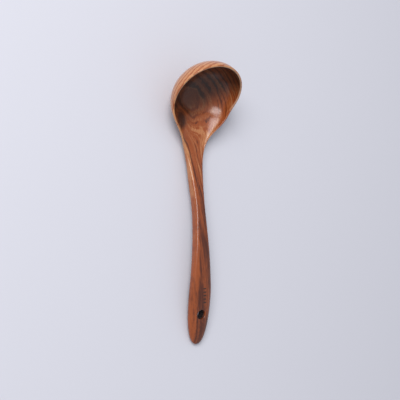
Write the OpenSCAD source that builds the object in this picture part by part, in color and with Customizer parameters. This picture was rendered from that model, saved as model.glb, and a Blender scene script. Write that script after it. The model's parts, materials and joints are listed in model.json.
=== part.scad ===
// Wooden soup ladle: a carved bowl whose neck is glued to a shaped handle.
// It lies as on a table: the belly of the bowl and the underside of the handle's end touch z = 0,
// the handle runs along +X, and both sides of y = 0 are the same.

/* [Bowl] */
// Diameter of the rim, outside
bowl_d = 82; // [76:1:88]
// Depth of the bowl outside, from the rim's plane to the bottom
bowl_depth = 31.5; // [29:0.5:34]
// Tilt of the rim's plane towards the handle, degrees
rim_tilt = 47; // [45:1:49]
// Thickness of the wall at the rim
rim_wall = 2.2; // [1.8:0.1:2.8]
// Thickness of the bowl's bottom
floor_t = 4.2; // [3.6:0.2:5]

/* [Handle] */
// Distance from the middle of the rim to the end of the handle
reach = 262; // [255:1:275]
// Width of the neck behind the bowl
neck_w = 19; // [17:0.5:22]
// Width of the handle's waist
waist_w = 12.5; // [12:0.5:16]
// Thickness of the handle's waist
waist_t = 12.5; // [10:0.5:13]
// Width of the handle near its end
end_w = 27; // [24:0.5:28]
// Thickness of the handle near its end
end_t = 13; // [11:0.5:14]
// Height of the handle's edge line above the table at the top of its arch
arch_z = 17; // [16:0.5:19]

/* [Hanging hole] */
// Diameter of the hanging hole
hole_d = 10; // [6:0.5:11]
// Distance from the hole's middle to the end of the handle
hole_to_end = 33; // [26:1:36]

/* [Neck joint] */
// Diameter of the handle's round tenon
tenon_d = 5; // [4:0.5:5.5]
// Length of the tenon inside the neck
tenon_len = 12; // [9:1:13]

/* [Hidden] */

// Rings over the far half of the bowl, in one step of the lengthwise curve and over the rounded end
FAR_RINGS = 18;
STEP_RINGS = 6;
END_RINGS = 10;
// Sides of one ring under the edge line and over it
UNDER = 20;
OVER = 16;

bowl_r = bowl_d / 2;
hollow_r = bowl_r - rim_wall;
hollow_depth = bowl_depth - floor_t;
// Height of the rim's middle over the table, with the bowl on its belly
rim_z = norm([bowl_r * sin(rim_tilt), bowl_depth * cos(rim_tilt)]);
// The end of the handle is rounded as a superellipse of this power
END_POWER = 2.35;
// Step between the first sections along the rim, which carry on the round of the bowl
RIM_STEP = 14;
// The neck joint lies this many steps along the lengthwise curve
JOINT_STEP = 5.5;
JOINT_RING = JOINT_STEP * STEP_RINGS;
// Gap round the tenon for glue, and at its end
GLUE_GAP = 0.1;
GLUE_WELL = 0.6;
// Angle from the edge line to the first point over it where there is no lip, degrees
SHOULDER = 9;

// One section: [x, z, half width, lip, depth under, height over, power under, power over].
// x and z place its edge line from the middle of the rim. A height over below zero is a hollow.
function rim_section(k) =
    let (round_off = RIM_STEP * RIM_STEP * (k == 0 ? 1 / 6 : -1 / 3))
    [
        k * RIM_STEP * cos(rim_tilt),
        -k * RIM_STEP * sin(rim_tilt),
        bowl_r + round_off / bowl_r,
        rim_wall,
        bowl_depth * (1 + round_off / pow(bowl_r, 2)),
        -hollow_depth * (1 + round_off / pow(hollow_r, 2)),
        2,
        2
    ];
// A section of the near side of the bowl or of the neck, with its height z over the table
function neck_section(x, z, half_w, lip, under, over, under_power, over_power) =
    [x, z - rim_z, half_w, lip, under, over, under_power, over_power];
function handle_section(x, z, half_w, thick, under_power, over_power) =
    [x, z - rim_z, half_w, 0, 0.56 * thick, 0.44 * thick, under_power, over_power];

SECTIONS = [
    for (k = [-1:1]) rim_section(k),
    // The near side of the bowl draws in like the point of a drop, over a soft keel
    neck_section(19, 22.8, 0.89 * bowl_r, rim_wall, 0.775 * bowl_depth, -0.69 * hollow_depth, 1.45, 1.5),
    neck_section(28, 18.4, 0.71 * bowl_r, rim_wall, 0.645 * bowl_depth, -0.53 * hollow_depth, 1.5, 1.5),
    neck_section(39, 12.9, 0.94 * neck_w, 0.8 * rim_wall, 0.345 * bowl_depth, -2.4, 1.8, 1.8),
    // The hollow ends, and the neck's flat top begins
    neck_section(52, 10.6, 0.68 * neck_w, 0.4 * rim_wall, 0.295 * bowl_depth, 0, 2.2, 2.8),
    neck_section(68, 10.5, 0.50 * neck_w, 0, 0.50 * waist_t, 0.28 * waist_t, 2.6, 3.6),
    handle_section(88, arch_z - 5.8, 0.62 * waist_w, waist_t, 3.0, 4.0),
    handle_section(112, arch_z - 2.6, 0.48 * waist_w, waist_t, 3.0, 4.0),
    handle_section(138, arch_z - 0.6, 0.58 * waist_w, waist_t, 3.0, 4.0),
    // From the top of the arch the handle widens, and its edges round over towards the end
    handle_section(164, arch_z, 0.36 * end_w, waist_t, 2.8, 3.4),
    handle_section(190, arch_z - 1.6, 0.44 * end_w, end_t, 2.4, 2.7),
    handle_section(212, arch_z - 4.2, 0.54 * end_w, end_t, 2.2, 2.3),
    handle_section(234, arch_z - 9.6, 0.44 * end_w, end_t, 2.2, 2.2)
];
STEPS = len(SECTIONS) - 3;
LAST_RING = STEPS * STEP_RINGS;

// Smooth lengthwise curve through four sections in turn, and its direction
function blend(s, i, t) =
    (s[i] * pow(1 - t, 3) + s[i + 1] * (3 * pow(t, 3) - 6 * t * t + 4)
    + s[i + 2] * (-3 * pow(t, 3) + 3 * t * t + 3 * t + 1) + s[i + 3] * pow(t, 3)) / 6;
function slope(s, i, t) =
    (-s[i] * pow(1 - t, 2) + s[i + 1] * (3 * t * t - 4 * t)
    + s[i + 2] * (-3 * t * t + 2 * t + 1) + s[i + 3] * t * t) / 2;

// A station is a section with the direction that it faces: [section, [x, z]]
function far_station(angle) =
    let (
        along = -bowl_r * cos(angle), half_w = bowl_r * sin(angle),
        opening = sqrt(max(0, 1 - pow(along / hollow_r, 2))),
        inner = max(hollow_r * opening, half_w / 3)
    )
    [
        [
            along * cos(rim_tilt), -along * sin(rim_tilt), half_w, half_w - inner,
            bowl_depth * sin(angle), -hollow_depth * opening, 2, 2
        ],
        [cos(rim_tilt), -sin(rim_tilt)]
    ];
function curve_station(n) =
    let (
        i = min(floor(n / STEP_RINGS), STEPS - 1), t = n / STEP_RINGS - i,
        d = slope(SECTIONS, i, t)
    )
    [blend(SECTIONS, i, t), [d[0], d[1]] / norm([d[0], d[1]])];
END_START = curve_station(LAST_RING);
END_LENGTH = (reach - END_START[0][0]) / END_START[1][0];
function end_station(angle) =
    let (
        s = END_START[0], d = END_START[1],
        along = END_LENGTH * pow(sin(angle), 2 / END_POWER), k = pow(cos(angle), 2 / END_POWER)
    )
    [[s[0] + along * d[0], s[1] + along * d[1], s[2] * k, 0, s[4] * k, s[5] * k, s[6], s[7]], d];

// A point of a station, from its distance sideways and its height over the edge line
function placed(station, side, height) =
    let (s = station[0], d = station[1])
    [s[0] - height * d[1], side, s[1] + height * d[0]];

// One ring of points: from the +Y edge under to the -Y edge, and back over
function bent(c, power) = sign(c) * pow(abs(c), 2 / power);
function ring(station) =
    let (
        s = station[0], inner = s[2] - s[3],
        start = SHOULDER * max(0, 1 - s[3] / rim_wall), turn = 180 - 2 * start
    )
    [
        for (j = [0:UNDER])
            let (a = 180 * j / UNDER)
            placed(station, s[2] * bent(cos(a), s[6]), -s[4] * bent(sin(a), s[6])),
        for (j = [0:OVER])
            let (a = start + turn * j / OVER)
            placed(station, -inner * bent(cos(a), s[7]), s[5] * bent(sin(a), s[7]))
    ];
SIDES = UNDER + OVER + 2;

FAR = [for (i = [1:FAR_RINGS - 1]) ring(far_station(90 * i / FAR_RINGS))];
NECK = [for (n = [0:JOINT_RING]) ring(curve_station(n))];
RUN = [for (n = [JOINT_RING:LAST_RING]) ring(curve_station(n))];
END = [for (i = [1:END_RINGS - 1]) ring(end_station(90 * i / END_RINGS))];
FRONT_TIP = placed(far_station(0), 0, 0);
END_TIP = placed(end_station(90), 0, 0);

// The ladle's front and its lowest point, which set the origin on the table under its middle
front_x = min([for (r = FAR) for (p = r) p[0]]);
lowest_z = min([for (r = concat(NECK, END)) for (p = r) p[2]]);
module on_table() {
    translate([-(front_x + END_TIP[0]) / 2, 0, -lowest_z])
        children();
}

// Closed solid through rings, from or to a single point where one is given
module skin(rings, first_point, last_point) {
    n = len(rings);
    points = concat([for (r = rings) for (p = r) p], [first_point, last_point]);
    around = [for (j = [0:SIDES - 1]) [j, (j + 1) % SIDES]];
    walls = [
        for (i = [0:n - 2]) for (e = around)
            for (t = [
                [i * SIDES + e[0], i * SIDES + e[1], (i + 1) * SIDES + e[1]],
                [i * SIDES + e[0], (i + 1) * SIDES + e[1], (i + 1) * SIDES + e[0]]
            ]) t
    ];
    start = [for (e = around) [n * SIDES, e[1], e[0]]];
    end = [for (e = around) [n * SIDES + 1, (n - 1) * SIDES + e[0], (n - 1) * SIDES + e[1]]];
    polyhedron(points, concat(walls, start, end));
}

// The middle of a station's cross-section
function centre(station) = placed(station, 0, (station[0][5] - station[0][4]) / 2);
JOINT = curve_station(JOINT_RING);
JOINT_TILT = -atan2(JOINT[1][1], JOINT[1][0]);
END_TILT = -atan2(END_START[1][1], END_START[1][0]);

// A round bar from the neck joint's middle, back into the bowl and forward into the handle
module tenon_bar(diameter, back, forward) {
    translate(centre(JOINT))
        rotate([0, 90 + JOINT_TILT, 0])
            translate([0, 0, -back])
                cylinder(h = back + forward, d = diameter, $fn = 48);
}

module hanging_hole() {
    along = END_LENGTH - hole_to_end;
    hole = [
        END_START[0][0] + along * END_START[1][0],
        0,
        END_START[0][1] + along * END_START[1][1]
    ];
    translate(hole)
        rotate([0, END_TILT, 0])
            cylinder(h = 4 * end_t, d = hole_d, center = true, $fn = 64);
}

module bowl() {
    color("peru") on_table() difference() {
        skin(concat(FAR, NECK), FRONT_TIP, centre(JOINT));
        tenon_bar(tenon_d + 2 * GLUE_GAP, tenon_len + GLUE_WELL, 1);
    }
}

module handle() {
    color("sienna") on_table() difference() {
        union() {
            skin(concat(RUN, END), centre(JOINT), END_TIP);
            tenon_bar(tenon_d, tenon_len, 10);
        }
        hanging_hole();
    }
}

bowl();
handle();
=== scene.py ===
"""Wooden soup ladle: a carved bowl with its neck glued to a shaped handle, on a pale table.

Laid out as an add-on whose operators make the bowl, the handle and the stage, and run as a script.
Everything is in metres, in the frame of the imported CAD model.
"""

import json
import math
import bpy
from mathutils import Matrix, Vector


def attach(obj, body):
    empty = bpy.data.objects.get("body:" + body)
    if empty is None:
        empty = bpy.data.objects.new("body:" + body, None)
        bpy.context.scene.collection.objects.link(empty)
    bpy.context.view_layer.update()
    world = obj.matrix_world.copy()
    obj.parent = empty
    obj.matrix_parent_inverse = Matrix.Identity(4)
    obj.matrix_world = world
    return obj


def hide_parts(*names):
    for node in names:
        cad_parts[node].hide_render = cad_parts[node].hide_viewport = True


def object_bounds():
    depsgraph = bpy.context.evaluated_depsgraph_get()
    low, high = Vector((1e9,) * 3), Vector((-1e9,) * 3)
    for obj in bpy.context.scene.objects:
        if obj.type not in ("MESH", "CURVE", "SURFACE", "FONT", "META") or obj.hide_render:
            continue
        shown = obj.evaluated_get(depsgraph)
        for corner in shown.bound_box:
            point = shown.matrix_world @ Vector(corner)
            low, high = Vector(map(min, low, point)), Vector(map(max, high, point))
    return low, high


bl_info = {
    "name": "Wooden soup ladle",
    "version": (1, 0, 0),
    "blender": (4, 5, 0),
    "location": "3D View > Sidebar > Ladle",
    "description": "Carves a wooden soup ladle round its CAD model and sets a pale stage",
    "category": "Object",
}

import bmesh
import bpy
from bpy.props import FloatProperty, FloatVectorProperty, PointerProperty
from bpy.types import Operator, Panel, PropertyGroup
from mathutils import Vector
from mathutils.bvhtree import BVHTree

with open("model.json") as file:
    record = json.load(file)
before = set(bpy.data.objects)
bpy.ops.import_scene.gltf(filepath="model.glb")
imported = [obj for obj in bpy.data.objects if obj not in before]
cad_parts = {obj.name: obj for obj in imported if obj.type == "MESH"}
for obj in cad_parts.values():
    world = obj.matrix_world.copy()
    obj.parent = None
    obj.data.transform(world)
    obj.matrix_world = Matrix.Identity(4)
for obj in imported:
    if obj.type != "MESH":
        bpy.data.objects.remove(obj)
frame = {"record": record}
CAD_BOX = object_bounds()

MM = 0.001

HANGING_HOLE = next(m for m in frame["record"]["mounts"] if m["name"] == "hanging_hole")
HOLE_RADIUS = HANGING_HOLE["dims"]["r_mm"] * MM
HOLE_MIDDLE = Vector(HANGING_HOLE["pos_m"])
HOLE_AXIS = Vector(HANGING_HOLE["axis"]).normalized()

# The grain turns a little from the ladle's length, in degrees about X, Y and Z
GRAIN_TURN = (0, 0, 7)
# Thickness of one year's growth, and of the coarser bands outside the bowl and in its dark heart
YEAR = 3.2 * MM
BAND = 5.8 * MM
# How far they waver, how far the whole grain swings, and how far it bulges round the knot
YEAR_WAVER = 2.2 * MM
BAND_WAVER = 3.0 * MM
GRAIN_SWING = 4.5 * MM
KNOT_BULGE = 13 * MM
# The knot in the hollow: its middle, its turn in degrees, and the half lengths of its dark core, of the
# browner wood round it and of the stretch where it bends the growth rings
KNOT = (-0.0918, -0.0152, 0.0125)
KNOT_TURN = (0, 0, -25)
KNOT_CORE = (0.0145, 0.0115, 0.0120)
KNOT_RIM = (0.0190, 0.0150, 0.0160)
KNOT_RINGS = (0.0170, 0.0110, 0.0120)

# The dark streak along the handle: its middle, its turn in degrees and its half lengths
STREAK = (0.0430, 0.0022, 0.0220)
STREAK_TURN = (0, 0, 15)
STREAK_SIZE = (0.0170, 0.0024, 0.0060)

# The rim's middle along X, from which the grain climbs the bowl
RIM_MIDDLE_X = -0.1129
# Stretches along X over which the wood changes: from where a change begins to where it is complete
BOWL_STARTS = (-0.100, -0.112)
HOLLOW_STARTS = (-0.075, -0.095)
HANDLE_STARTS = (-0.060, 0.020)
TIP_STARTS = (0.105, 0.140)
GRAIN_TURNS = (-0.085, -0.050)
# Where the sapwood, with the painted light of the handle's lit left flank, leaves the handle, rounds the bowl
# and fades
SAP_LEAVES_HANDLE = (-0.050, -0.075)
SAP_ROUNDS_BOWL = (-0.076, -0.098)
SAP_FADES = (0.020, 0.090)
NECK_LINE_STARTS = (-0.085, -0.070)
NECK_LINE_ENDS = (0.010, -0.020)

# The row of burnt dashes runs along the handle from its first dash. It lies DASH_SIDE from the middle
# there, and moves DASH_SLANT further for each metre along. DASH_EDGE is half the soft edge of a dash.
DASHES = 5
DASH_START = 90 * MM
DASH_PITCH = 3.7 * MM
DASH_WIDTH = 1.2 * MM
DASH_LENGTH = 3.8 * MM
DASH_SIDE = 1.7 * MM
DASH_SLANT = 0.09
DASH_EDGE = 0.2 * MM

# Points round one ring of the ladle's skin, under the edge line and over it. Those over it start and end
# with the points of a lip.
UNDER_STEPS = 44
LIP_STEPS = 8
OVER_STEPS = 44
RING_POINTS = UNDER_STEPS + OVER_STEPS
# Rings over the front lip, the far half of the hollow, one lengthwise step and the rounded end
FRONT_RINGS = 8
FAR_RINGS = 30
STEP_RINGS = 8
END_RINGS = 16
# The rounded end is a superellipse of this power
END_POWER = 2.35
# Step between the first sections along the rim, which carry on the round of the bowl
RIM_STEP = 14 * MM
# The neck joint lies this many steps along the lengthwise curve
JOINT_STEP = 5.5
# The lip is rounded over its width, to this share of the width in height
LIP_ROUND = 0.42
LIP_POWER = 2.2
# At the front of the bowl the points of the lip spread over this share of the ring's half width
LIP_SPREAD = 0.88

# Sides of the round bars and of the hanging hole
BAR_SIDES = 48
HOLE_SIDES = 96
# Angles of the loops that round one mouth of the hanging hole
MOUTH_ANGLES = [math.radians(a) for a in (0, 15, 30, 45, 60, 74)]
# The last loop lies past each mouth, and is wider by this share of the easing; the bar's ends are wider still
FLARE_SPREAD = 0.15
END_SPREAD = 1.2
# The bore's cutter runs past the joint, and the tenon is rooted in the handle
BORE_PAST = 2 * MM
TENON_ROOT = 5 * MM
BORE_CHAMFER = 0.3 * MM
TENON_CHAMFER = 0.4 * MM
# Edges sharper than this stay sharp, degrees
SHARP_EDGE = 32


# ---------------------------------------------------------------- values


def length(name, value, description):
    return FloatProperty(
        name=name, description=description, default=value, min=0.0, unit="LENGTH", precision=4
    )


def colour(name, value, description):
    return FloatVectorProperty(
        name=name, description=description, default=value, size=3, min=0.0, max=1.0, subtype="COLOR"
    )


def share(name, value, description):
    return FloatProperty(
        name=name, description=description, default=value, min=0.0, max=1.0, subtype="FACTOR"
    )


class LadleSizes(PropertyGroup):
    """Sizes of the carved wood"""

    bowl_diameter: length("Bowl diameter", 82 * MM, "Diameter of the rim, outside")
    bowl_depth: length("Bowl depth", 31.5 * MM, "From the rim's plane to the bottom, outside")
    rim_tilt: FloatProperty(
        name="Rim tilt",
        description="Tilt of the rim's plane towards the handle",
        default=math.radians(47.0),
        subtype="ANGLE",
    )
    rim_wall: length("Rim wall", 2.2 * MM, "Thickness of the wall at the rim")
    floor_thickness: length("Floor", 4.2 * MM, "Thickness of the bowl's bottom")
    reach: length("Reach", 262 * MM, "From the middle of the rim to the end of the handle")
    neck_width: length("Neck width", 19 * MM, "Width of the neck behind the bowl")
    waist_width: length("Waist width", 12.5 * MM, "Width of the handle's waist")
    waist_thickness: length("Waist thickness", 12.5 * MM, "Thickness of the handle's waist")
    end_width: length("End width", 27 * MM, "Width of the handle near its end")
    end_thickness: length("End thickness", 13 * MM, "Thickness of the handle near its end")
    arch_height: length("Arch", 17 * MM, "Height of the edge line at the top of the arch")
    hole_easing: length("Hole easing", 0.9 * MM, "Rounding of the hanging hole's two mouths")
    tenon_diameter: length("Tenon", 5 * MM, "Diameter of the handle's tenon in the neck")
    tenon_length: length("Tenon length", 12 * MM, "Length of the tenon inside the neck")
    glue_gap: length("Glue gap", 0.1 * MM, "Room for glue round the tenon")
    glue_well: length("Glue well", 0.6 * MM, "Room for glue at the tenon's end")


class LadleFinish(PropertyGroup):
    """Colours and gloss of the oiled wood, with a painted highlight on the lip and painted shade in the
    hollow and the hanging hole
    """

    sapwood: colour("Sapwood", (0.50, 0.225, 0.095), "Pale wood at the outside of the board")
    wood: colour("Wood", (0.285, 0.066, 0.016), "Body of the wood")
    heartwood: colour("Heartwood", (0.075, 0.017, 0.008), "Dark bands and streaks")
    # The lip colour is a painted highlight along the rim's edge
    lip: colour("Lip", (0.66, 0.43, 0.28), "Sanded edge of the rim")
    # The deep heart colour darkens the knot's core, and in the hollow it is dark heartwood together with
    # painted shade
    deep: colour("Deep heart", (0.016, 0.007, 0.006), "Darkest wood, in the hollow")
    # The char colour serves the burnt dashes, and also as painted shade on the wall of the hanging hole
    char: colour("Char", (0.018, 0.012, 0.011), "Burnt dashes and the scorched wall of the hanging hole")
    roughness: share("Roughness", 0.38, "Roughness of the oiled surface")
    coat: share("Coat", 0.8, "Strength of the clear oil coat")
    coat_roughness: share("Coat roughness", 0.21, "Roughness of the clear oil coat")


class StageSettings(PropertyGroup):
    """Floor, light and camera"""

    floor: colour("Floor", (0.605, 0.605, 0.665), "Pale table")
    sky: colour("Sky", (0.93, 0.95, 1.0), "Light from all round")
    sky_strength: FloatProperty(
        name="Sky strength", description="Strength of the light from all round", default=0.53
    )
    window_power: FloatProperty(
        name="Window power", description="Power of the large soft light", default=46.0, unit="POWER"
    )
    window_bearing: FloatProperty(
        name="Window bearing",
        description="Compass direction of the light, from +X towards +Y",
        default=math.radians(-124.0),
        subtype="ANGLE",
    )
    window_height: FloatProperty(
        name="Window height",
        description="Light's angle over the table",
        default=math.radians(47.0),
        subtype="ANGLE",
    )
    window_distance: length("Window distance", 2.2, "From the ladle to the light")
    window_width: length("Window width", 1.3, "Side of the square light")
    camera_place: FloatVectorProperty(
        name="Camera place",
        description="Where the camera stands",
        default=(0.05958, -0.52297, 0.69439),
        size=3,
        subtype="TRANSLATION",
    )
    camera_turn: FloatVectorProperty(
        name="Camera turn",
        description="Camera rotation about X, Y and Z",
        default=tuple(math.radians(a) for a in (5.6292, -37.5555, 87.8137)),
        size=3,
        subtype="EULER",
    )
    lens: FloatProperty(name="Lens", description="Focal length in millimetres", default=72.0, unit="CAMERA")


# ---------------------------------------------------------------- shape


class LadleShape:
    """The ladle's skin as rings of points, from the front of the bowl to the end of the handle."""

    def __init__(self, sizes):
        self.sizes = sizes
        self.tilt = (math.cos(sizes.rim_tilt), -math.sin(sizes.rim_tilt))
        self.bowl_r = sizes.bowl_diameter / 2
        self.hollow_r = self.bowl_r - sizes.rim_wall
        self.hollow_depth = sizes.bowl_depth - sizes.floor_thickness
        # The rim's middle, from the ends and the top of the CAD model
        rim_height = CAD_BOX[1].z + self.bowl_r * self.tilt[1]
        self.rim_middle = Vector((CAD_BOX[1].x - sizes.reach, 0.0, rim_height))
        self.sections = self.lengthwise_sections()
        self.steps = len(self.sections) - 3
        self.end_start = self.curve_station(self.steps)
        start, facing = self.end_start
        self.end_length = (sizes.reach - start[0]) / facing[0]

    def lengthwise_sections(self):
        """Rows of x, z, half width, lip, depth under, height over, power under, power over.

        x and z place the section's edge line from the middle of the rim.
        A height over below zero is a hollow.
        """
        s = self.sizes
        wall, deep, hollow = s.rim_wall, s.bowl_depth, self.hollow_depth
        rows = []
        for k in (-1, 0, 1):
            round_off = RIM_STEP**2 * (1 / 6 if k == 0 else -1 / 3)
            rows.append((
                k * RIM_STEP * self.tilt[0],
                k * RIM_STEP * self.tilt[1],
                self.bowl_r + round_off / self.bowl_r,
                wall,
                deep * (1 + round_off / self.bowl_r**2),
                -hollow * (1 + round_off / self.hollow_r**2),
                2.0,
                2.0,
            ))
        waist = s.waist_thickness
        # Height of the rim's middle over the table, with the bowl on its belly
        rim_z = math.hypot(self.bowl_r * self.tilt[1], s.bowl_depth * self.tilt[0])
        # The near side of the bowl and the neck: x and the height over the table in millimetres
        for x, z, half_w, lip, under, over, under_power, over_power in (
            (19, 22.8, 0.89 * self.bowl_r, wall, 0.775 * deep, -0.69 * hollow, 1.45, 1.5),
            (28, 18.4, 0.71 * self.bowl_r, wall, 0.645 * deep, -0.53 * hollow, 1.5, 1.5),
            (39, 12.9, 0.94 * s.neck_width, 0.8 * wall, 0.345 * deep, -2.4 * MM, 1.8, 1.8),
            (52, 10.6, 0.68 * s.neck_width, 0.4 * wall, 0.295 * deep, 0.0, 2.2, 2.8),
            (68, 10.5, 0.50 * s.neck_width, 0.0, 0.50 * waist, 0.28 * waist, 2.6, 3.6),
        ):
            rows.append((x * MM, z * MM - rim_z, half_w, lip, under, over, under_power, over_power))
        # The handle: x and the drop of its edge line below the top of the arch in millimetres
        for x, drop, half_w, thick, under_power, over_power in (
            (88, 5.8, 0.62 * s.waist_width, waist, 3.0, 4.0),
            (112, 2.6, 0.48 * s.waist_width, waist, 3.0, 4.0),
            (138, 0.6, 0.58 * s.waist_width, waist, 3.0, 4.0),
            (164, 0.0, 0.36 * s.end_width, waist, 2.8, 3.4),
            (190, 1.6, 0.44 * s.end_width, s.end_thickness, 2.4, 2.7),
            (212, 4.2, 0.54 * s.end_width, s.end_thickness, 2.2, 2.3),
            (234, 9.6, 0.44 * s.end_width, s.end_thickness, 2.2, 2.2),
        ):
            rows.append((
                x * MM,
                s.arch_height - drop * MM - rim_z,
                half_w,
                0.0,
                0.56 * thick,
                0.44 * thick,
                under_power,
                over_power,
            ))
        return rows

    def curve_station(self, place):
        """A section of the smooth lengthwise curve, and the direction that it faces."""
        i = min(int(place), self.steps - 1)
        t = place - i
        four = self.sections[i : i + 4]
        weights = ((1 - t) ** 3, 3 * t**3 - 6 * t * t + 4, -3 * t**3 + 3 * t * t + 3 * t + 1, t**3)
        slopes = (-((1 - t) ** 2), 3 * t * t - 4 * t, -3 * t * t + 2 * t + 1, t * t)
        section = [sum(w * row[c] for w, row in zip(weights, four)) / 6 for c in range(8)]
        run = [sum(w * row[c] for w, row in zip(slopes, four)) for c in range(2)]
        size = math.hypot(*run)
        return section, (run[0] / size, run[1] / size)

    def placed(self, section, facing, side, height):
        return self.rim_middle + Vector(
            (section[0] - height * facing[1], side, section[1] + height * facing[0])
        )

    def lip_height(self, across, width):
        """Height of the rounded lip at a share of its width, 0 at the hollow and 1 outside."""
        rounding = 1 - abs(2 * across - 1) ** LIP_POWER
        return LIP_ROUND * width * max(0.0, rounding) ** (1 / LIP_POWER)

    def far_ring(self, along):
        """A ring over the far half of the bowl, along the rim's plane from its middle (negative)."""
        wall, inner_r = self.sizes.rim_wall, self.hollow_r
        half_w = math.sqrt(max(0.0, self.bowl_r**2 - along**2))
        under = self.sizes.bowl_depth * half_w / self.bowl_r
        section = (along * self.tilt[0], along * self.tilt[1])

        def over(side):
            out = math.hypot(along, side)
            if out >= inner_r:
                return self.lip_height((out - inner_r) / wall, wall)
            return -self.hollow_depth * math.sqrt(1 - (out / inner_r) ** 2)

        sides = []
        for j in range(1, LIP_STEPS + 1):
            out = inner_r + wall * (1 + math.cos(math.pi * j / LIP_STEPS)) / 2
            least = half_w * (1 - LIP_SPREAD * j / LIP_STEPS)
            sides.append(max(math.sqrt(max(0.0, out**2 - along**2)), least))
        half = OVER_STEPS // 2
        for j in range(1, half - LIP_STEPS + 1):
            sides.append(sides[LIP_STEPS - 1] * math.cos(math.pi / 2 * j / (half - LIP_STEPS)))
        sides[-1] = 0.0
        return self.closed_ring(section, self.tilt, half_w, under, 2.0, sides, over)

    def curve_ring(self, section, facing):
        """A ring of the near half of the bowl, the neck or the handle."""
        x, z, half_w, lip, under, height, under_power, over_power = section
        lip = max(lip, 0.0)
        inner = half_w - lip
        bowl_like = min(1.0, lip / self.sizes.rim_wall)
        bowl_like = bowl_like * bowl_like * (3 - 2 * bowl_like)
        dish = min(height, 0.0) / max(bowl_like, 0.2)
        crown = max(height, 0.0) / (1 - min(bowl_like, 0.8))

        def superellipse(ratio, power):
            return max(0.0, 1 - min(1.0, ratio) ** power) ** (1 / power)

        def over(side):
            if lip > 0 and side >= inner:
                hollow = self.lip_height((side - inner) / lip, lip)
            else:
                hollow = dish * superellipse(side / inner, over_power)
            full = crown * superellipse(side / half_w, over_power)
            return bowl_like * hollow + (1 - bowl_like) * full

        half = OVER_STEPS // 2
        sides = []
        for j in range(1, half + 1):
            if j <= LIP_STEPS:
                lipped = inner + lip * (1 + math.cos(math.pi * j / LIP_STEPS)) / 2
            else:
                inwards = (j - LIP_STEPS) / (half - LIP_STEPS)
                lipped = inner * math.cos(math.pi / 2 * inwards) ** (2 / over_power)
            plain = half_w * max(0.0, math.cos(math.pi / 2 * j / half)) ** (2 / over_power)
            sides.append(bowl_like * lipped + (1 - bowl_like) * plain)
        sides[-1] = 0.0
        return self.closed_ring((x, z), facing, half_w, under, under_power, sides, over)

    def closed_ring(self, section, facing, half_w, under, under_power, sides, over):
        """Points from the +Y edge under to the -Y edge, and back over."""
        ring = []
        for j in range(UNDER_STEPS + 1):
            a = math.pi * j / UNDER_STEPS
            cos, sin = math.cos(a), math.sin(a)
            side = math.copysign(abs(cos) ** (2 / under_power), cos) * half_w
            ring.append(self.placed(section, facing, side, -under * abs(sin) ** (2 / under_power)))
        for side in sides:
            ring.append(self.placed(section, facing, -side, over(side)))
        for side in reversed(sides[:-1]):
            ring.append(self.placed(section, facing, side, over(side)))
        return ring

    def rings(self):
        """All rings in order, with the single points at the two ends."""
        wall, inner_r = self.sizes.rim_wall, self.hollow_r
        found = []
        for i in range(1, FRONT_RINGS + 1):
            outwards = (1 + math.cos(math.pi * i / FRONT_RINGS)) / 2
            found.append(self.far_ring(-inner_r - wall * outwards))
        for i in range(1, FAR_RINGS):
            found.append(self.far_ring(-inner_r * math.cos(math.pi / 2 * i / FAR_RINGS)))
        for n in range(self.steps * STEP_RINGS + 1):
            found.append(self.curve_ring(*self.curve_station(n / STEP_RINGS)))
        start, facing = self.end_start
        for i in range(1, END_RINGS):
            a = math.pi / 2 * i / END_RINGS
            along = self.end_length * math.sin(a) ** (2 / END_POWER)
            k = math.cos(a) ** (2 / END_POWER)
            section = [start[0] + along * facing[0], start[1] + along * facing[1], *start[2:]]
            for c in (2, 4, 5):
                section[c] *= k
            found.append(self.curve_ring(section, facing))
        edge = (-self.bowl_r * self.tilt[0], -self.bowl_r * self.tilt[1])
        front = self.placed(edge, self.tilt, 0.0, 0.0)
        tip = [start[i] + self.end_length * facing[i] for i in range(2)]
        return found, front, self.placed(tip, facing, 0.0, 0.0)


# ---------------------------------------------------------------- modelling


def deselect_all():
    if bpy.context.object and bpy.context.object.mode != "OBJECT":
        bpy.ops.object.mode_set(mode="OBJECT")
    bpy.ops.object.select_all(action="DESELECT")


def pick(piece):
    """Makes a piece the only selected and active one."""
    deselect_all()
    piece.select_set(True)
    bpy.context.view_layer.objects.active = piece


def added(name):
    """The primitive that was just added, with its place applied to its mesh."""
    piece = bpy.context.object
    piece.name = piece.data.name = name
    bpy.ops.object.transform_apply(location=True, rotation=True, scale=True)
    return piece


def apply_modifier(piece, kind, **settings):
    pick(piece)
    modifier = piece.modifiers.new(kind.title(), kind)
    for key, value in settings.items():
        setattr(modifier, key, value)
    if bpy.ops.object.modifier_apply(modifier=modifier.name) != {"FINISHED"}:
        raise RuntimeError(f"{kind} couldn't be applied to {piece.name}")


def cut(piece, cutter, operation="DIFFERENCE"):
    """Cuts or joins a cutter, then removes it."""
    apply_modifier(piece, "BOOLEAN", object=cutter, operation=operation, solver="EXACT")
    pick(cutter)
    bpy.ops.object.delete()


def shade_smooth(piece, degrees):
    pick(piece)
    bpy.ops.object.shade_smooth_by_angle(angle=math.radians(degrees))


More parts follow.
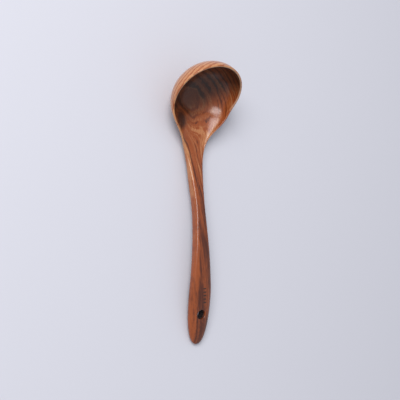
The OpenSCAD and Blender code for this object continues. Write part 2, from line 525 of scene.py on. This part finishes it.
def carve_blank(sizes, name):
    """The ladle's whole skin: a sphere with its rings of points drawn out to the ladle's sections."""
    shape = LadleShape(sizes)
    rings, front, tip = shape.rings()
    deselect_all()
    bpy.ops.mesh.primitive_uv_sphere_add(segments=RING_POINTS, ring_count=len(rings) + 1, radius=1.0)
    blank = added(name)
    for vertex in blank.data.vertices:
        x, y, z = vertex.co
        # The row and the place in it come from the point's two angles on the sphere
        row = round(math.acos(max(-1.0, min(1.0, z))) / math.pi * (len(rings) + 1))
        if row == 0:
            vertex.co = front
        elif row == len(rings) + 1:
            vertex.co = tip
        else:
            turn = round(math.atan2(y, x) / math.tau * RING_POINTS)
            vertex.co = rings[row - 1][turn % RING_POINTS]
    pick(blank)
    bpy.ops.object.mode_set(mode="EDIT")
    bpy.ops.mesh.select_all(action="SELECT")
    bpy.ops.mesh.normals_make_consistent(inside=False)
    bpy.ops.object.mode_set(mode="OBJECT")
    apply_modifier(blank, "SUBSURF", levels=1, render_levels=1)
    return blank


def saw_off(piece, place, facing, keep_front):
    """Cuts a piece square at a plane, keeps one side and closes the cut."""
    pick(piece)
    bpy.ops.object.mode_set(mode="EDIT")
    bpy.ops.mesh.select_all(action="SELECT")
    bpy.ops.mesh.bisect(
        plane_co=place, plane_no=facing, use_fill=True, clear_inner=not keep_front, clear_outer=keep_front
    )
    bpy.ops.object.mode_set(mode="OBJECT")


def neck_joint(sizes):
    """Middle of the glued face at the end of the neck, and its direction towards the handle."""
    shape = LadleShape(sizes)
    section, facing = shape.curve_station(JOINT_STEP)
    middle = shape.placed(section, facing, 0.0, (section[5] - section[4]) / 2)
    return middle, Vector((facing[0], 0.0, facing[1]))


def round_bar(name, start, end, radius, chamfer):
    """A round bar between two points, with a small chamfer at its start."""
    run = end - start
    deselect_all()
    bpy.ops.mesh.primitive_cylinder_add(
        vertices=BAR_SIDES,
        radius=radius,
        depth=run.length,
        location=(start + end) / 2,
        rotation=run.to_track_quat("Z", "Y").to_euler(),
    )
    bar = added(name)
    bpy.ops.object.mode_set(mode="EDIT")
    bpy.ops.mesh.select_mode(type="FACE")
    bpy.ops.mesh.select_all(action="DESELECT")
    # Only the end face at the start
    mesh = bmesh.from_edit_mesh(bar.data)
    for face in mesh.faces:
        face.select_set(face.normal.dot(run.normalized()) < -0.9)
    bmesh.update_edit_mesh(bar.data)
    bpy.ops.mesh.bevel(offset=chamfer, segments=2, affect="EDGES")
    bpy.ops.object.mode_set(mode="OBJECT")
    return bar


def looped_bar(loops):
    """A long bar through the hanging hole, with loops round it, and its points by level."""
    height = CAD_BOX[1].z
    deselect_all()
    bpy.ops.mesh.primitive_cylinder_add(
        vertices=HOLE_SIDES,
        radius=HOLE_RADIUS,
        depth=2 * height,
        end_fill_type="NGON",
        location=HOLE_MIDDLE,
        rotation=HOLE_AXIS.to_track_quat("Z", "Y").to_euler(),
    )
    bar = added("hole_cutter")
    bpy.ops.object.mode_set(mode="EDIT")
    for n in range(loops):
        bpy.ops.mesh.select_all(action="SELECT")
        along = height * ((n + 1) / (loops + 1) - 0.5)
        bpy.ops.mesh.bisect(plane_co=HOLE_MIDDLE + HOLE_AXIS * along, plane_no=HOLE_AXIS)
    bpy.ops.object.mode_set(mode="OBJECT")
    levels = {}
    for vertex in bar.data.vertices:
        along = (vertex.co - HOLE_MIDDLE).dot(HOLE_AXIS)
        level = round(along / height * (loops + 1) + (loops + 1) / 2)
        levels.setdefault(level, []).append(vertex)
    return bar, levels


def hole_cutter(sizes, piece):
    """A round plug for the hanging hole, flared where it leaves the wood so that both mouths are eased."""
    easing = sizes.hole_easing
    surface = BVHTree.FromObject(piece, bpy.context.evaluated_depsgraph_get())
    # One loop for each step of the two flares, and one past each flare
    flare = len(MOUTH_ANGLES) + 1
    cutter, levels = looped_bar(2 * flare)

    def outwards(vertex):
        out = vertex.co - HOLE_MIDDLE
        return (out - HOLE_AXIS * out.dot(HOLE_AXIS)).normalized()

    for end in (-1, 1):
        for n in range(flare):
            # Counted from the middle outwards
            level = flare + 1 + n if end > 0 else flare - n
            angle = MOUTH_ANGLES[min(n, flare - 2)]
            for vertex in levels[level]:
                out = outwards(vertex)
                foot = HOLE_MIDDLE + out * (HOLE_RADIUS + easing) + HOLE_AXIS * (end * CAD_BOX[1].z)
                hit = surface.ray_cast(foot, -end * HOLE_AXIS)[0]
                mouth = (hit - HOLE_MIDDLE).dot(HOLE_AXIS)
                reach = HOLE_RADIUS + easing * (1 - math.cos(angle))
                if n < flare - 1:
                    along = mouth - end * easing * (1 - math.sin(angle))
                else:
                    reach, along = reach + FLARE_SPREAD * easing, mouth + end * easing
                vertex.co = HOLE_MIDDLE + out * reach + HOLE_AXIS * along
    for level in (min(levels), max(levels)):
        for vertex in levels[level]:
            along = (vertex.co - HOLE_MIDDLE).dot(HOLE_AXIS)
            reach = HOLE_RADIUS + END_SPREAD * easing
            vertex.co = HOLE_MIDDLE + outwards(vertex) * reach + HOLE_AXIS * along
    return cutter


# ---------------------------------------------------------------- materials


class Weave:
    """Short calls that add nodes to a material's or a world's tree."""

    def __init__(self, tree):
        self.tree = tree
        tree.nodes.clear()

    def node(self, kind, inputs=(), **settings):
        made = self.tree.nodes.new(kind)
        for key, value in settings.items():
            setattr(made, key, value)
        for key, value in dict(inputs).items():
            self.feed(made.inputs[key], value)
        return made

    def feed(self, socket, value):
        if isinstance(value, bpy.types.NodeSocket):
            self.tree.links.new(value, socket)
        else:
            socket.default_value = value

    def maths(self, operation, a, b=0.5, c=0.5):
        return self.node("ShaderNodeMath", {0: a, 1: b, 2: c}, operation=operation).outputs[0]

    def scaled(self, value, factor, base):
        return self.maths("MULTIPLY_ADD", value, factor, base)

    def times(self, first, *others):
        """Product of all the values."""
        for other in others:
            first = self.maths("MULTIPLY", first, other)
        return first

    def distance(self, a, b):
        return self.maths("ABSOLUTE", self.maths("SUBTRACT", a, b))

    def vector(self, operation, a, b=(0, 0, 0)):
        made = self.node("ShaderNodeVectorMath", {0: a, 1: b}, operation=operation)
        return made.outputs["Value"]

    def split(self, vector):
        return self.node("ShaderNodeSeparateXYZ", {0: vector}).outputs

    def local(self, vector, place, turn, size):
        """A point as seen from a place, along turned axes, in units of a size along each."""
        seen = self.node(
            "ShaderNodeMapping",
            {"Vector": vector, "Location": place, "Rotation": [math.radians(a) for a in turn], "Scale": size},
            vector_type="TEXTURE",
        )
        return seen.outputs[0]

    def blob(self, vector, place, turn, size, core):
        """1 inside a soft ellipsoid and 0 outside."""
        return self.ramp(self.vector("LENGTH", self.local(vector, place, turn, size)), 1.0, core)

    def noise(self, vector, scale=1.0, detail=3.0, roughness=0.5):
        made = self.node(
            "ShaderNodeTexNoise", {"Vector": vector, "Scale": scale, "Detail": detail, "Roughness": roughness}
        )
        return made.outputs[0]

    def ramp(self, factor, low, high):
        """0 at low and 1 at high, rising smoothly between them."""
        made = self.node(
            "ShaderNodeMapRange",
            {"Value": factor, "From Min": low, "From Max": high},
            interpolation_type="SMOOTHSTEP",
        )
        return made.outputs[0]

    def mix(self, factor, a, b):
        made = self.node("ShaderNodeMix", {0: factor, 6: a, 7: b}, data_type="RGBA")
        return made.outputs[2]


def opaque(colour_value):
    return (*colour_value, 1.0)


def grain_field(weave, place, spread):
    """Distance through the growth rings, in metres: the lines of even grain on every surface.

    The grain lies flat at the right wall of the bowl, climbs over its left side and runs down the handle.
    """
    x, y, z = weave.split(place)
    climb = weave.scaled(y, -11.0, 0.35)
    in_bowl = weave.scaled(weave.maths("SUBTRACT", x, RIM_MIDDLE_X), climb, z)
    # In the handle the rings stand nearly upright and run almost lengthwise
    in_handle = weave.maths("ADD", weave.vector("DOT_PRODUCT", place, (0.12, -0.9, 0.1)), 0.034)
    down_handle = weave.ramp(x, *GRAIN_TURNS)
    both = weave.node(
        "ShaderNodeMix", {0: down_handle, 2: in_bowl, 3: in_handle}, data_type="FLOAT"
    ).outputs[0]
    around_knot = weave.times(weave.blob(place, KNOT, KNOT_TURN, KNOT_RINGS, core=0.0), KNOT_BULGE)
    return weave.maths("ADD", weave.scaled(spread, GRAIN_SWING, both), around_knot)


class Grain:
    """Patterns that run through the whole block of wood, each from 0 to 1 but for the field."""

    def __init__(self, weave, place):
        self.weave = weave
        self.place = place
        x = weave.split(place)[0]
        spread = self.long_noise((0.4, 0, 0), (0.045, 0.012, 0.012))
        self.field = grain_field(weave, place, spread)
        self.wander = self.long_noise((0.2, 0, 0), (0.012, 0.0025, 0.0025))
        ring_strength = self.long_noise((0.7, 0, 0), (0.03, 0.007, 0.007))
        self.rings = weave.times(
            weave.ramp(self.waves(YEAR, YEAR_WAVER), -0.2, 1.2), weave.ramp(ring_strength, 0.35, 0.65)
        )
        self.bands = weave.ramp(self.waves(BAND, BAND_WAVER), -0.1, 0.9)
        across = {"X": weave.times(self.field, 160.0), "Y": weave.times(x, 16.0), "Z": 0.0}
        self.broad = weave.noise(
            weave.node("ShaderNodeCombineXYZ", across).outputs[0], detail=2.0, roughness=0.6
        )
        self.fibres = self.long_noise((0, 0, 0), (0.010, 0.0008, 0.0008), detail=4.0, roughness=0.65)
        pores = self.long_noise((0.1, 0, 0), (0.0045, 0.0006, 0.0006), detail=2.0)
        self.pores = weave.ramp(pores, 0.56, 0.68)

    def long_noise(self, start, size, **settings):
        """Noise with spots of a size along, across and up the grain.

        Each kind has its own start, so that no two look alike.
        """
        return self.weave.noise(self.weave.local(self.place, start, GRAIN_TURN, size), **settings)

    def waves(self, pitch, waver):
        """Waves across the grain, a pitch apart, from -1 to 1."""
        wavering = self.weave.scaled(self.wander, waver, self.field)
        return self.weave.maths("SINE", self.weave.times(wavering, math.tau / pitch))


class Zones:
    """Where on the ladle a point lies: each zone is 0 outside it, and up to 1 inside."""

    def __init__(self, weave, place, grain, shape):
        x, y, z = weave.split(place)
        in_rim = weave.local(
            place,
            shape.rim_middle,
            (0, math.degrees(shape.sizes.rim_tilt), 0),
            (shape.hollow_r, shape.hollow_r, shape.hollow_depth),
        )
        # 1 on the face of the hollow, and more in the wood behind it
        hollow = weave.vector("LENGTH", in_rim)
        at_bowl = weave.ramp(x, *BOWL_STARTS)
        self.hollow_face = weave.ramp(hollow, 1.030, 1.005)
        self.inside = weave.times(self.hollow_face, weave.ramp(x, *HOLLOW_STARTS))
        self.outside = weave.times(weave.ramp(hollow, 1.012, 1.035), at_bowl, weave.ramp(y, 0.045, 0.005))
        self.along_handle = weave.ramp(x, *HANDLE_STARTS)
        self.tip = weave.ramp(x, *TIP_STARTS)

        # The sapwood's edge lies 5.5 mm left of the handle's middle, and moves out round the bowl. On the
        # handle's left flank the paler colour is partly sapwood and partly painted light and sheen of the lit
        # side
        edge = weave.scaled(weave.ramp(x, *SAP_LEAVES_HANDLE), -0.010, -0.0055)
        edge = weave.scaled(weave.ramp(x, *SAP_ROUNDS_BOWL), -0.018, edge)
        past_edge = weave.maths("SUBTRACT", weave.scaled(grain.wander, 0.003, y), edge)
        fading = weave.scaled(weave.ramp(x, *SAP_FADES), -0.15, 0.75)
        left = weave.times(weave.ramp(past_edge, 0.0028, 0.0), fading)
        self.sapwood_and_lit_flank = weave.maths("MAXIMUM", left, self.outside)

        # The far and left side of the hollow is darker: partly dark heartwood, and partly painted shade where
        # the rim shades the hollow
        depth = weave.maths("ADD", weave.vector("DOT_PRODUCT", place, (0.66, 0.52, -0.05)), 0.0605)
        heart_and_rim_shade = weave.ramp(weave.scaled(grain.broad, 0.016, depth), 0.014, -0.006)
        self.heart_and_rim_shade = weave.times(heart_and_rim_shade, self.hollow_face)

        # A painted highlight along the rim's lip: a pale band just over the hollow's edge
        rim_height = weave.split(in_rim)[2]
        lip_highlight_band = weave.times(weave.ramp(hollow, 0.995, 1.005), weave.ramp(hollow, 1.040, 1.020))
        self.lip = weave.times(weave.ramp(rim_height, -0.035, -0.005), lip_highlight_band, at_bowl)

        # A line over the neck, which follows the grain, and a streak along the handle
        line = weave.distance(weave.scaled(grain.wander, 0.0012, grain.field), 0.0378)
        on_neck = weave.times(weave.ramp(x, *NECK_LINE_STARTS), weave.ramp(x, *NECK_LINE_ENDS))
        self.neck_line = weave.times(weave.ramp(line, 0.0013, 0.0003), on_neck)
        self.streak = weave.blob(place, STREAK, STREAK_TURN, STREAK_SIZE, core=0.1)
        self.hole_shade = painted_hole_shade(weave, place)
        self.dashes = burnt_dashes(weave, x, y, z)


def painted_hole_shade(weave, place):
    """1 on the wall of the hanging hole, below its upper mouth: painted shade, darkening the hole's wall
    where shade falls.
    """
    lean = math.degrees(math.atan2(HOLE_AXIS.x, HOLE_AXIS.z))
    across, side, along = weave.split(weave.local(place, HOLE_MIDDLE, (0, lean, 0), (HOLE_RADIUS,) * 3))
    out = weave.maths("SQRT", weave.scaled(across, across, weave.times(side, side)))
    return weave.times(weave.ramp(out, 1.10, 1.0), weave.ramp(along, 1.0, 0.45))


def burnt_dashes(weave, x, y, z):
    """1 on the dashes burnt across the handle's top, near its end."""
    count = weave.maths("DIVIDE", weave.maths("SUBTRACT", x, DASH_START), DASH_PITCH)
    in_row = weave.times(
        weave.maths("GREATER_THAN", count, -0.5), weave.maths("LESS_THAN", count, DASHES - 0.5)
    )
    # Each dash is half its width either side of a whole count
    half = 0.5 * DASH_WIDTH / DASH_PITCH
    across = weave.distance(weave.maths("FRACT", weave.maths("ADD", count, 0.5)), 0.5)
    across = weave.ramp(across, half + 0.05, half - 0.04)
    middle = weave.scaled(x, DASH_SLANT, DASH_SIDE - DASH_SLANT * DASH_START)
    along = weave.ramp(
        weave.distance(y, middle), 0.5 * DASH_LENGTH + DASH_EDGE, 0.5 * DASH_LENGTH - DASH_EDGE
    )
    on_top = weave.maths("GREATER_THAN", z, 12 * MM)
    return weave.times(across, along, in_row, on_top)


def wood_tone(weave, grain, zones):
    """0 is the palest wood and 1 the darkest, before the marks."""
    tone = weave.scaled(grain.broad, 1.2, -0.56)
    rings_show = weave.scaled(zones.along_handle, -0.25, 0.45)
    for pattern, darkening in (
        (grain.rings, rings_show),
        (grain.fibres, 0.65),
        (zones.along_handle, 0.40),
        (zones.tip, 0.04),
        (zones.inside, -0.04),
        # Paler sapwood, partly painted light on the handle's lit left flank
        (zones.sapwood_and_lit_flank, -0.47),
    ):
        tone = weave.scaled(pattern, darkening, tone)
    return tone


def wood_colour(weave, place, grain, zones, finish):
    """Colour of the wood, with its marks, painted shade and a painted highlight laid over it one after the
    other.
    """
    tone = wood_tone(weave, grain, zones)
    colour_now = weave.mix(weave.ramp(tone, 0.0, 0.45), opaque(finish.sapwood), opaque(finish.wood))
    marks = weave.maths("MAXIMUM", weave.times(zones.neck_line, 0.85), weave.times(zones.streak, 0.8))
    shaded_heart_bands = weave.scaled(grain.bands, 0.24, 0.70)
    knot_rim = weave.blob(place, KNOT, KNOT_TURN, KNOT_RIM, core=0.75)
    knot_core = weave.blob(place, KNOT, KNOT_TURN, KNOT_CORE, core=0.45)
    for strength, over in (
        (weave.ramp(tone, 0.45, 1.0), finish.heartwood),
        (weave.times(grain.bands, zones.outside, 0.80), finish.wood),
        (marks, finish.heartwood),
        # Dark heartwood with painted shade in the far, left side of the hollow
        (weave.times(zones.heart_and_rim_shade, shaded_heart_bands), finish.deep),
        (weave.times(knot_rim, zones.inside, 0.3), finish.wood),
        (weave.times(knot_core, 0.9), finish.deep),
        (weave.times(grain.pores, 0.40), finish.heartwood),
        # Painted highlight on the rim's lip
        (weave.times(zones.lip, 0.5), finish.lip),
        # Painted shade darkens the wall of the hanging hole
        (weave.times(zones.hole_shade, 0.95), finish.char),
        (weave.times(zones.dashes, 0.93), finish.char),
    ):
        colour_now = weave.mix(strength, colour_now, opaque(over))
    return colour_now


def oiled_wood(sizes, finish):
    """Solid wood: growth rings and fibres run along the ladle through both pieces."""
    found = bpy.data.materials.get("oiled_wood")
    if found:
        return found
    material = bpy.data.materials.new("oiled_wood")
    material.use_nodes = True
    weave = Weave(material.node_tree)
    place = weave.node("ShaderNodeTexCoord").outputs["Object"]
    grain = Grain(weave, place)
    zones = Zones(weave, place, grain, LadleShape(sizes))
    raised = weave.scaled(grain.pores, -0.5, grain.fibres)
    bump = weave.node("ShaderNodeBump", {"Strength": 0.3, "Distance": 0.2 * MM, "Height": raised})
    shader = weave.node("ShaderNodeBsdfPrincipled", {
        "Base Color": wood_colour(weave, place, grain, zones, finish),
        "Roughness": weave.scaled(grain.fibres, 0.16, finish.roughness - 0.08),
        "Specular IOR Level": 0.08,
        "Coat Weight": finish.coat,
        "Coat Roughness": finish.coat_roughness,
        "Normal": bump.outputs[0],
    })
    weave.node("ShaderNodeOutputMaterial", {"Surface": shader.outputs[0]})
    return material


def table_top(stage):
    """Pale matt table, with a faint unevenness."""
    material = bpy.data.materials.new("pale_table")
    material.use_nodes = True
    weave = Weave(material.node_tree)
    place = weave.node("ShaderNodeTexCoord").outputs["Object"]
    cloud = weave.noise(place, scale=3.0, detail=2.0)
    shaded = [c * 0.9 for c in stage.floor]
    tint = weave.mix(weave.times(cloud, 0.12), opaque(stage.floor), opaque(shaded))
    shader = weave.node("ShaderNodeBsdfPrincipled", {"Base Color": tint, "Roughness": 0.85})
    weave.node("ShaderNodeOutputMaterial", {"Surface": shader.outputs[0]})
    return material


def coat_with(piece, material):
    piece.data.materials.clear()
    piece.data.materials.append(material)


# ---------------------------------------------------------------- operators


class LADLE_OT_bowl(Operator):
    """Carve the bowl and its neck, with the blind bore for the tenon"""

    bl_idname = "ladle.bowl"
    bl_label = "Bowl"

    def execute(self, context):
        sizes = context.scene.ladle_sizes
        bowl = carve_blank(sizes, "carved_bowl")
        middle, facing = neck_joint(sizes)
        saw_off(bowl, middle, facing, keep_front=True)
        bore_end = middle - facing * (sizes.tenon_length + sizes.glue_well)
        radius = sizes.tenon_diameter / 2 + sizes.glue_gap
        cut(bowl, round_bar("bore_cutter", bore_end, middle + facing * BORE_PAST, radius, BORE_CHAMFER))
        shade_smooth(bowl, SHARP_EDGE)
        coat_with(bowl, oiled_wood(sizes, context.scene.ladle_finish))
        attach(bowl, "root")
        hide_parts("bowl")
        return {"FINISHED"}


class LADLE_OT_handle(Operator):
    """Carve the handle with its tenon and its hanging hole"""

    bl_idname = "ladle.handle"
    bl_label = "Handle"

    def execute(self, context):
        sizes = context.scene.ladle_sizes
        handle = carve_blank(sizes, "carved_handle")
        middle, facing = neck_joint(sizes)
        saw_off(handle, middle, facing, keep_front=False)
        cut(handle, hole_cutter(sizes, handle))
        tenon_end = middle - facing * sizes.tenon_length
        root = middle + facing * TENON_ROOT
        tenon = round_bar("tenon", tenon_end, root, sizes.tenon_diameter / 2, TENON_CHAMFER)
        cut(handle, tenon, operation="UNION")
        shade_smooth(handle, SHARP_EDGE)
        coat_with(handle, oiled_wood(sizes, context.scene.ladle_finish))
        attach(handle, "root")
        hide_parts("handle")
        return {"FINISHED"}


class LADLE_OT_stage(Operator):
    """Lay the pale table and set the soft light and the camera"""

    bl_idname = "ladle.stage"
    bl_label = "Stage"

    def execute(self, context):
        stage = context.scene.ladle_stage
        deselect_all()
        bpy.ops.mesh.primitive_grid_add(x_subdivisions=8, y_subdivisions=8, size=8.0)
        table = added("table_top")
        coat_with(table, table_top(stage))

        bearing, height = stage.window_bearing, stage.window_height
        towards = Vector((
            math.cos(bearing) * math.cos(height), math.sin(bearing) * math.cos(height), math.sin(height)
        ))
        bpy.ops.object.light_add(
            type="AREA",
            location=towards * stage.window_distance,
            rotation=towards.to_track_quat("Z", "Y").to_euler(),
        )
        window = context.object
        window.name = "window_light"
        window.data.shape = "SQUARE"
        window.data.size = stage.window_width
        window.data.energy = stage.window_power

        world = bpy.data.worlds.new("soft_sky")
        world.use_nodes = True
        weave = Weave(world.node_tree)
        sky = weave.node("ShaderNodeBackground", {"Color": opaque(stage.sky), "Strength": stage.sky_strength})
        weave.node("ShaderNodeOutputWorld", {"Surface": sky.outputs[0]})
        context.scene.world = world

        bpy.ops.object.camera_add(location=stage.camera_place, rotation=stage.camera_turn)
        camera = context.object
        camera.name = "camera"
        camera.data.lens = stage.lens
        camera.data.sensor_width = 36.0
        camera.data.clip_start = 0.01
        camera.data.dof.use_dof = False
        context.scene.camera = camera
        context.scene.view_settings.view_transform = "Standard"
        return {"FINISHED"}


class LADLE_PT_panel(Panel):
    """Lists the ladle's operators and values"""

    bl_idname = "LADLE_PT_panel"
    bl_label = "Wooden soup ladle"
    bl_space_type = "VIEW_3D"
    bl_region_type = "UI"
    bl_category = "Ladle"

    def draw(self, context):
        for step in (LADLE_OT_bowl, LADLE_OT_handle, LADLE_OT_stage):
            self.layout.operator(step.bl_idname, text=step.bl_label)
        for values in (context.scene.ladle_sizes, context.scene.ladle_finish, context.scene.ladle_stage):
            box = self.layout.box()
            for name in values.__annotations__:
                box.prop(values, name)


CLASSES = (
    LadleSizes,
    LadleFinish,
    StageSettings,
    LADLE_OT_bowl,
    LADLE_OT_handle,
    LADLE_OT_stage,
    LADLE_PT_panel,
)


def register():
    for cls in CLASSES:
        bpy.utils.register_class(cls)
    bpy.types.Scene.ladle_sizes = PointerProperty(type=LadleSizes)
    bpy.types.Scene.ladle_finish = PointerProperty(type=LadleFinish)
    bpy.types.Scene.ladle_stage = PointerProperty(type=StageSettings)


def unregister():
    del bpy.types.Scene.ladle_stage
    del bpy.types.Scene.ladle_finish
    del bpy.types.Scene.ladle_sizes
    for cls in reversed(CLASSES):
        bpy.utils.unregister_class(cls)


def main():
    register()
    bpy.ops.ladle.bowl()
    bpy.ops.ladle.handle()
    bpy.ops.ladle.stage()


if __name__ == "__main__":
    main()
